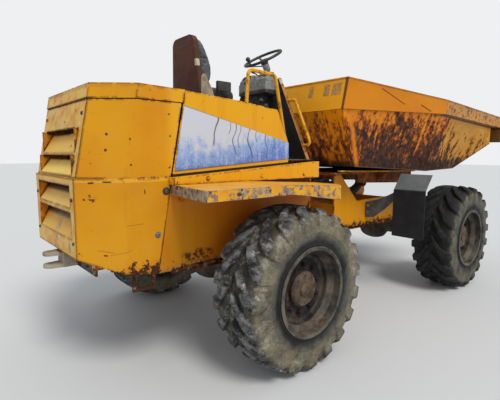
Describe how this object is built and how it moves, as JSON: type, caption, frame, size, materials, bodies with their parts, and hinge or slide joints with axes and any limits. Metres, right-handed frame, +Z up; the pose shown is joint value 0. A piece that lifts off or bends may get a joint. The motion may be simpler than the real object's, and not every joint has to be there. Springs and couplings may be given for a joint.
{
  "type": "site dumper",
  "caption": "Four-wheel-drive site dumper, steered at a centre pivot, with a front-tipping skip, engine housing at the rear and an open driver's seat.",
  "frame": {"origin": "on the ground under the middle of the machine's bounding box", "axes": "+X forward towards the skip's lip, +Y to the machine's left, +Z up"},
  "size_m": [5.165, 2.5, 2.5765],
  "materials": {
    "yellow_paint": "worn orange-yellow paint with rust chips",
    "chassis_paint": "worn orange-yellow paint, dusty and rusty",
    "footplate_paint": "worn paint with rusty edges",
    "rail_paint": "yellow tube",
    "guard_paint": "black inside, yellow edge",
    "skip_paint": "yellow paint, belly streaked with rust",
    "blue_white_panel": "faded white over blue",
    "floor_plate": "dark dirty steel",
    "black_paint": "black paint",
    "dash_black": "black moulded plastic",
    "wheel_plastic": "black grip",
    "seat_shell": "dark brown shell",
    "seat_vinyl": "grey vinyl",
    "axle_iron": "dirty cast iron",
    "engine_iron": "dark casting",
    "radiator_black": "dusty fins",
    "rusty_steel": "rusty steel",
    "rod_chrome": "hard chrome",
    "rim_black": "black rim with rust",
    "tyre_rubber": "dusty rubber",
    "flap_rubber": "black rubber flap",
    "grey_plate": "grey plate"
  },
  "bodies": {
    "rear_chassis": {"rear_frame": "chassis_paint", "rear_axle": "axle_iron", "engine_block": "engine_iron", "radiator": "radiator_black", "rear_body_lower": "yellow_paint", "grille_upper": "yellow_paint", "engine_side_right": "yellow_paint", "engine_side_left": "yellow_paint", "platform_right": "yellow_paint", "platform_left": "yellow_paint", "engine_door_insets": "blue_white_panel", "driver_floor": "floor_plate", "sill_beams": "yellow_paint", "footplate_right": "footplate_paint", "footplate_left": "footplate_paint", "front_guard": "guard_paint", "dash_box": "dash_black", "steering_column": "dash_black", "seat_base": "seat_shell", "seat_cushion": "seat_vinyl", "seat_back": "seat_vinyl", "grab_rails": "rail_paint", "control_levers": "black_paint", "tow_hitch": "rusty_steel"},
    "bonnet": {"bonnet_lid": "yellow_paint"},
    "handwheel": {"steering_wheel": "wheel_plastic"},
    "centre_pivot": {"pivot_block": "axle_iron"},
    "front_chassis": {"front_frame": "chassis_paint", "front_axle": "axle_iron", "mudguard_plates": "grey_plate", "mudflaps": "flap_rubber"},
    "skip": {"skip_shell": "skip_paint", "skip_frame": "skip_paint"},
    "tip_barrel": {"tip_barrel": "black_paint"},
    "tip_rod": {"tip_rod": "rod_chrome"},
    "steer_barrel": {"steer_barrel": "black_paint"},
    "steer_rod": {"steer_rod": "rod_chrome"},
    "wheel_rear_right": {"tyre_rear_right": "tyre_rubber", "rim_rear_right": "rim_black"},
    "wheel_rear_left": {"tyre_rear_left": "tyre_rubber", "rim_rear_left": "rim_black"},
    "wheel_front_right": {"tyre_front_right": "tyre_rubber", "rim_front_right": "rim_black"},
    "wheel_front_left": {"tyre_front_left": "tyre_rubber", "rim_front_left": "rim_black"}
  },
  "joints": [
    {"name": "steer", "type": "hinge", "parent": "rear_chassis", "child": "centre_pivot", "pos_m": [-0.0575, 0, 0.905], "axis": [0, 0, 1], "range_deg": [-28, 28]},
    {"name": "roll", "type": "hinge", "parent": "centre_pivot", "child": "front_chassis", "pos_m": [0.2225, 0, 0.905], "axis": [1, 0, 0], "range_deg": [-10, 10]},
    {"name": "tip", "type": "hinge", "parent": "front_chassis", "child": "skip", "pos_m": [1.8225, 0, 1.17], "axis": [0, 1, 0], "range_deg": [0, 65]},
    {"name": "tip_barrel_swing", "type": "hinge", "parent": "front_chassis", "child": "tip_barrel", "pos_m": [0.5225, 0, 0.78], "axis": [0, -1, 0], "range_deg": [-0.25, 12.87]},
    {"name": "tip_rod_slide", "type": "slide", "parent": "tip_barrel", "child": "tip_rod", "axis": [0.8736, 0, 0.4867], "range_m": [-0.01212, 0.6133]},
    {"name": "steer_barrel_swing", "type": "hinge", "parent": "rear_chassis", "child": "steer_barrel", "pos_m": [-0.4625, -0.33, 0.905], "axis": [0, 0, 1], "range_deg": [-1.74, 1.74]},
    {"name": "steer_rod_slide", "type": "slide", "parent": "steer_barrel", "child": "steer_rod", "axis": [0.9539, 0.3001, 0], "range_m": [-0.09386, 0.09386]},
    {"name": "bonnet_hinge", "type": "hinge", "parent": "rear_chassis", "child": "bonnet", "pos_m": [-1.80883, 0, 1.957], "axis": [0, 1, 0], "range_deg": [0, 60]},
    {"name": "handwheel_turn", "type": "hinge", "parent": "rear_chassis", "child": "handwheel", "pos_m": [-0.5315, 0, 2.47], "axis": [-0.5, 0, 0.866], "continuous": true},
    {"name": "spin_rear_right", "type": "hinge", "parent": "rear_chassis", "child": "wheel_rear_right", "pos_m": [-1.1775, -1.0275, 0.59], "axis": [0, 1, 0], "continuous": true},
    {"name": "spin_rear_left", "type": "hinge", "parent": "rear_chassis", "child": "wheel_rear_left", "pos_m": [-1.1775, 1.0275, 0.59], "axis": [0, 1, 0], "continuous": true},
    {"name": "spin_front_right", "type": "hinge", "parent": "front_chassis", "child": "wheel_front_right", "pos_m": [1.5975, -1.0275, 0.59], "axis": [0, 1, 0], "continuous": true},
    {"name": "spin_front_left", "type": "hinge", "parent": "front_chassis", "child": "wheel_front_left", "pos_m": [1.5975, 1.0275, 0.59], "axis": [0, 1, 0], "continuous": true}
  ],
  "couplings": [
    {"joint": "tip_barrel_swing", "follows": "tip", "ratio": 0.19416},
    {"joint": "tip_rod_slide", "follows": "tip", "m_per_rad": 0.52992},
    {"joint": "steer_barrel_swing", "follows": "steer", "ratio": -0.059836},
    {"joint": "steer_rod_slide", "follows": "steer", "m_per_rad": 0.18448}
  ]
}
